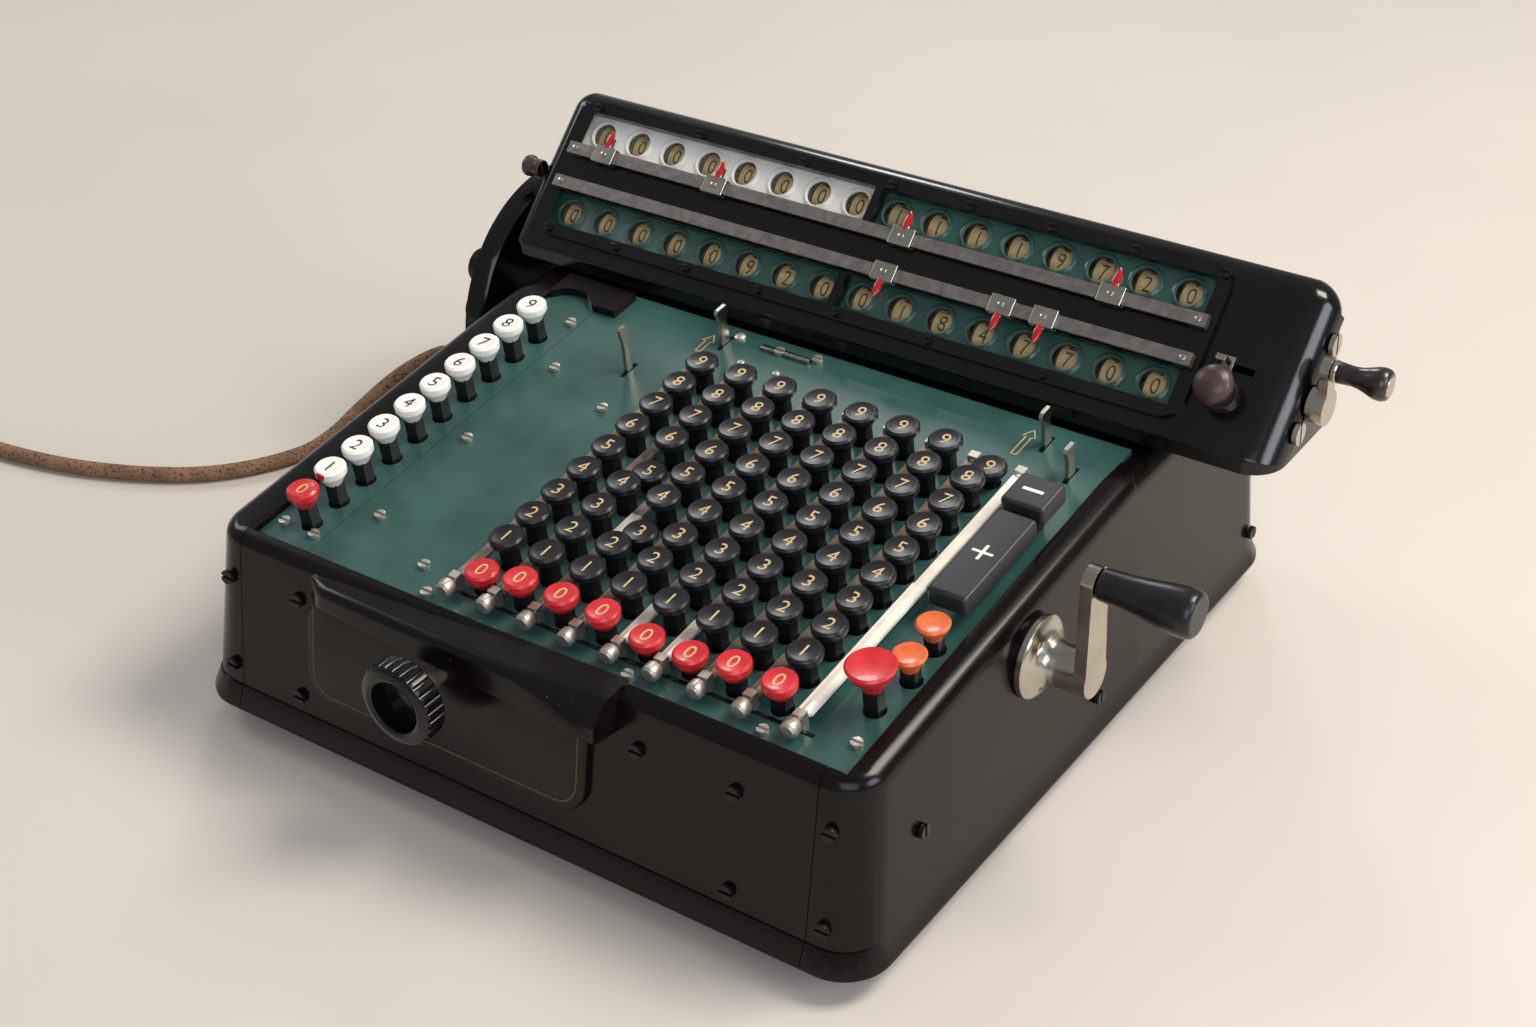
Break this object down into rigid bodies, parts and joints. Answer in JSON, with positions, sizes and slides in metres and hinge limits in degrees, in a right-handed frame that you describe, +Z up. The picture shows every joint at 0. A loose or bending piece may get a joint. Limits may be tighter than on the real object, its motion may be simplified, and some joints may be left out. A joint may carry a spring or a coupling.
{
  "type": "mechanical_calculator",
  "caption": "Electric mechanical desk calculator with a sloping full keyboard, a sliding carriage of dials under glass, a hand crank and a coiled mains cord",
  "frame": {"origin": "middle of the outline without the cord, on the table under the feet", "axes": "+X to the operator's right, +Y to the rear, +Z up"},
  "size_m": [0.6104, 0.2912, 0.1394],
  "materials": {
    "enamel": "gloss",
    "plate_green": "satin",
    "rubber": "matte",
    "steel": "satin",
    "nickel": "polished",
    "rod_grey": "satin",
    "ivory": "gloss",
    "key_black": "gloss",
    "key_red": "gloss",
    "key_orange": "gloss",
    "brown": "gloss",
    "dial_cream": "matte",
    "glass": "gloss",
    "cord_brown": "matte",
    "plug_black": "matte"
  },
  "bodies": {
    "case": {"base_plate": "enamel", "front_panel": "enamel", "shift_cover": "enamel", "left_cover": "enamel", "right_cover": "enamel", "rear_cover": "enamel", "keyboard_plate": "plate_green", "multiplier_plate": "plate_green", "rubber_feet": "rubber", "case_screws": "nickel", "inner_frame": "steel", "motor_housing": "enamel", "cord_lead": "cord_brown", "cord_coil": "cord_brown", "plug": "plug_black"},
    "column_1": {"number_keys_1": "key_black"},
    "column_2": {"number_keys_2": "key_black"},
    "column_3": {"number_keys_3": "key_black"},
    "column_4": {"number_keys_4": "key_black"},
    "column_5": {"number_keys_5": "key_black"},
    "column_6": {"number_keys_6": "key_black"},
    "column_7": {"number_keys_7": "key_black"},
    "column_8": {"number_keys_8": "key_black"},
    "latched": {"latched_keys": "key_black"},
    "zeros": {"zero_keys": "key_red"},
    "multipliers": {"multiplier_keys": "ivory"},
    "plus": {"plus_bar": "key_black"},
    "minus": {"minus_bar": "key_black"},
    "clear": {"clear_key": "key_red"},
    "repeat": {"repeat_keys": "key_orange"},
    "rod_1": {"decimal_rod_1": "rod_grey"},
    "rod_2": {"decimal_rod_2": "rod_grey"},
    "rod_3": {"decimal_rod_3": "rod_grey"},
    "rod_4": {"decimal_rod_4": "rod_grey"},
    "rod_5": {"decimal_rod_5": "rod_grey"},
    "rod_6": {"decimal_rod_6": "rod_grey"},
    "rod_7": {"decimal_rod_7": "rod_grey"},
    "rod_8": {"decimal_rod_8": "rod_grey"},
    "rod_9": {"decimal_rod_9": "ivory"},
    "lever_1": {"plate_lever_1": "nickel"},
    "lever_2": {"plate_lever_2": "nickel"},
    "lever_3": {"plate_lever_3": "nickel"},
    "lever_4": {"plate_lever_4": "nickel"},
    "crank": {"main_crank": "nickel", "main_shaft": "steel"},
    "crank_knob": {"crank_grip": "key_black"},
    "drums": {"stepped_drums": "steel"},
    "carriage": {"carriage_base": "steel", "carriage_cover": "enamel", "dial_masks": "plate_green", "window_glass": "glass", "carriage_trim": "nickel"},
    "shifter": {"shift_knob": "key_black"},
    "lower_row": {"lower_dials": "dial_cream"},
    "upper_row": {"upper_dials": "dial_cream"},
    "markers": {"decimal_markers": "nickel"},
    "clearing_crank": {"clear_crank": "nickel"},
    "clearing_grip": {"clear_grip": "brown"},
    "push_knob": {"carriage_knob": "brown"},
    "count_lever": {"counter_lever": "nickel"}
  },
  "joints": [
    {"name": "column_1_press", "type": "slide", "parent": "case", "child": "column_1", "axis": [0, -0.1167, 0.9932], "range_m": [-0.005, 0], "stiffness_N_per_m": 300},
    {"name": "column_2_press", "type": "slide", "parent": "case", "child": "column_2", "axis": [0, -0.1167, 0.9932], "range_m": [-0.005, 0], "stiffness_N_per_m": 300},
    {"name": "column_3_press", "type": "slide", "parent": "case", "child": "column_3", "axis": [0, -0.1167, 0.9932], "range_m": [-0.005, 0], "stiffness_N_per_m": 300},
    {"name": "column_4_press", "type": "slide", "parent": "case", "child": "column_4", "axis": [0, -0.1167, 0.9932], "range_m": [-0.005, 0], "stiffness_N_per_m": 300},
    {"name": "column_5_press", "type": "slide", "parent": "case", "child": "column_5", "axis": [0, -0.1167, 0.9932], "range_m": [-0.005, 0], "stiffness_N_per_m": 300},
    {"name": "column_6_press", "type": "slide", "parent": "case", "child": "column_6", "axis": [0, -0.1167, 0.9932], "range_m": [-0.005, 0], "stiffness_N_per_m": 300},
    {"name": "column_7_press", "type": "slide", "parent": "case", "child": "column_7", "axis": [0, -0.1167, 0.9932], "range_m": [-0.005, 0], "stiffness_N_per_m": 300},
    {"name": "column_8_press", "type": "slide", "parent": "case", "child": "column_8", "axis": [0, -0.1167, 0.9932], "range_m": [-0.005, 0], "stiffness_N_per_m": 300},
    {"name": "latched_release", "type": "slide", "parent": "case", "child": "latched", "axis": [0, -0.1167, 0.9932], "range_m": [0, 0.005], "stiffness_N_per_m": 30},
    {"name": "zero_press", "type": "slide", "parent": "case", "child": "zeros", "axis": [0, -0.1167, 0.9932], "range_m": [-0.002, 0], "stiffness_N_per_m": 300},
    {"name": "multiplier_press", "type": "slide", "parent": "case", "child": "multipliers", "axis": [0, -0.1167, 0.9932], "range_m": [-0.005, 0], "stiffness_N_per_m": 300},
    {"name": "plus_press", "type": "slide", "parent": "case", "child": "plus", "axis": [0, -0.1167, 0.9932], "range_m": [-0.004, 0], "stiffness_N_per_m": 300},
    {"name": "minus_press", "type": "slide", "parent": "case", "child": "minus", "axis": [0, -0.1167, 0.9932], "range_m": [-0.004, 0], "stiffness_N_per_m": 300},
    {"name": "clear_press", "type": "slide", "parent": "case", "child": "clear", "axis": [0, -0.1167, 0.9932], "range_m": [-0.005, 0], "stiffness_N_per_m": 300},
    {"name": "repeat_press", "type": "slide", "parent": "case", "child": "repeat", "axis": [0, -0.1167, 0.9932], "range_m": [-0.004, 0], "stiffness_N_per_m": 300},
    {"name": "rod_1_turn", "type": "hinge", "parent": "case", "child": "rod_1", "pos_m": [-0.03315, -0.10899, 0.07446], "axis": [0, 0.9932, 0.1167], "range_deg": [0, 180]},
    {"name": "rod_2_turn", "type": "hinge", "parent": "case", "child": "rod_2", "pos_m": [-0.01715, -0.10899, 0.07446], "axis": [0, 0.9932, 0.1167], "range_deg": [0, 180]},
    {"name": "rod_3_turn", "type": "hinge", "parent": "case", "child": "rod_3", "pos_m": [-0.00115, -0.10899, 0.07446], "axis": [0, 0.9932, 0.1167], "range_deg": [0, 180]},
    {"name": "rod_4_turn", "type": "hinge", "parent": "case", "child": "rod_4", "pos_m": [0.01485, -0.10899, 0.07446], "axis": [0, 0.9932, 0.1167], "range_deg": [0, 180]},
    {"name": "rod_5_turn", "type": "hinge", "parent": "case", "child": "rod_5", "pos_m": [0.03085, -0.10899, 0.07446], "axis": [0, 0.9932, 0.1167], "range_deg": [0, 180]},
    {"name": "rod_6_turn", "type": "hinge", "parent": "case", "child": "rod_6", "pos_m": [0.04685, -0.10899, 0.07446], "axis": [0, 0.9932, 0.1167], "range_deg": [0, 180]},
    {"name": "rod_7_turn", "type": "hinge", "parent": "case", "child": "rod_7", "pos_m": [0.06285, -0.10899, 0.07446], "axis": [0, 0.9932, 0.1167], "range_deg": [0, 180]},
    {"name": "rod_8_turn", "type": "hinge", "parent": "case", "child": "rod_8", "pos_m": [0.07885, -0.10899, 0.07446], "axis": [0, 0.9932, 0.1167], "range_deg": [0, 180]},
    {"name": "rod_9_turn", "type": "hinge", "parent": "case", "child": "rod_9", "pos_m": [0.09605, -0.10899, 0.07446], "axis": [0, 0.9932, 0.1167], "range_deg": [0, 180]},
    {"name": "lever_1_tilt", "type": "hinge", "parent": "case", "child": "lever_1", "pos_m": [-0.05615, 0.01582, 0.07915], "axis": [1, 0, 0], "range_deg": [-12, 12]},
    {"name": "lever_2_tilt", "type": "hinge", "parent": "case", "child": "lever_2", "pos_m": [-0.03515, 0.04412, 0.08248], "axis": [1, 0, 0], "range_deg": [-12, 12]},
    {"name": "lever_3_tilt", "type": "hinge", "parent": "case", "child": "lever_3", "pos_m": [0.09285, 0.04412, 0.08248], "axis": [1, 0, 0], "range_deg": [-12, 12]},
    {"name": "lever_4_tilt", "type": "hinge", "parent": "case", "child": "lever_4", "pos_m": [0.10755, 0.0332, 0.08119], "axis": [1, 0, 0], "range_deg": [-12, 12]},
    {"name": "crank_turn", "type": "hinge", "parent": "case", "child": "crank", "pos_m": [0.12985, -0.0265, 0.062], "axis": [1, 0, 0], "continuous": true},
    {"name": "crank_grip_turn", "type": "hinge", "parent": "crank", "child": "crank_knob", "pos_m": [0.14985, -0.0265, 0.096], "axis": [1, 0, 0], "continuous": true},
    {"name": "drum_turn", "type": "hinge", "parent": "case", "child": "drums", "pos_m": [-0.00015, -0.00816, 0.04606], "axis": [1, 0, 0], "continuous": true},
    {"name": "carriage_slide", "type": "slide", "parent": "case", "child": "carriage", "axis": [1, 0, 0], "range_m": [0, 0.112]},
    {"name": "shift_knob_turn", "type": "hinge", "parent": "case", "child": "shifter", "pos_m": [-0.02475, -0.1395, 0.055], "axis": [0, 1, 0], "range_deg": [-20, 2540]},
    {"name": "lower_dial_turn", "type": "hinge", "parent": "carriage", "child": "lower_row", "pos_m": [-0.00015, 0.07514, 0.09963], "axis": [1, 0, 0], "continuous": true},
    {"name": "upper_dial_turn", "type": "hinge", "parent": "carriage", "child": "upper_row", "pos_m": [-0.00015, 0.0982, 0.12182], "axis": [1, 0, 0], "continuous": true},
    {"name": "marker_slide", "type": "slide", "parent": "carriage", "child": "markers", "axis": [1, 0, 0], "range_m": [-0.006, 0.012]},
    {"name": "clear_crank_turn", "type": "hinge", "parent": "carriage", "child": "clearing_crank", "pos_m": [0.16485, 0.08345, 0.10628], "axis": [1, 0, 0], "continuous": true},
    {"name": "clear_grip_turn", "type": "hinge", "parent": "clearing_crank", "child": "clearing_grip", "pos_m": [0.17485, 0.08345, 0.11978], "axis": [1, 0, 0], "continuous": true},
    {"name": "push_knob_press", "type": "slide", "parent": "carriage", "child": "push_knob", "axis": [0, -0.6934, 0.7206], "range_m": [-0.003, 0], "stiffness_N_per_m": 300},
    {"name": "count_lever_slide", "type": "slide", "parent": "carriage", "child": "count_lever", "axis": [1, 0, 0], "range_m": [-0.0015, 0.007]}
  ],
  "couplings": [
    {"joint": "latched_release", "follows": "clear_press", "ratio": -1},
    {"joint": "drum_turn", "follows": "crank_turn", "ratio": -1},
    {"joint": "shift_knob_turn", "follows": "carriage_slide", "rad_per_m": 392.7},
    {"joint": "upper_dial_turn", "follows": "lower_dial_turn", "ratio": 1},
    {"joint": "clear_crank_turn", "follows": "lower_dial_turn", "ratio": 1}
  ]
}
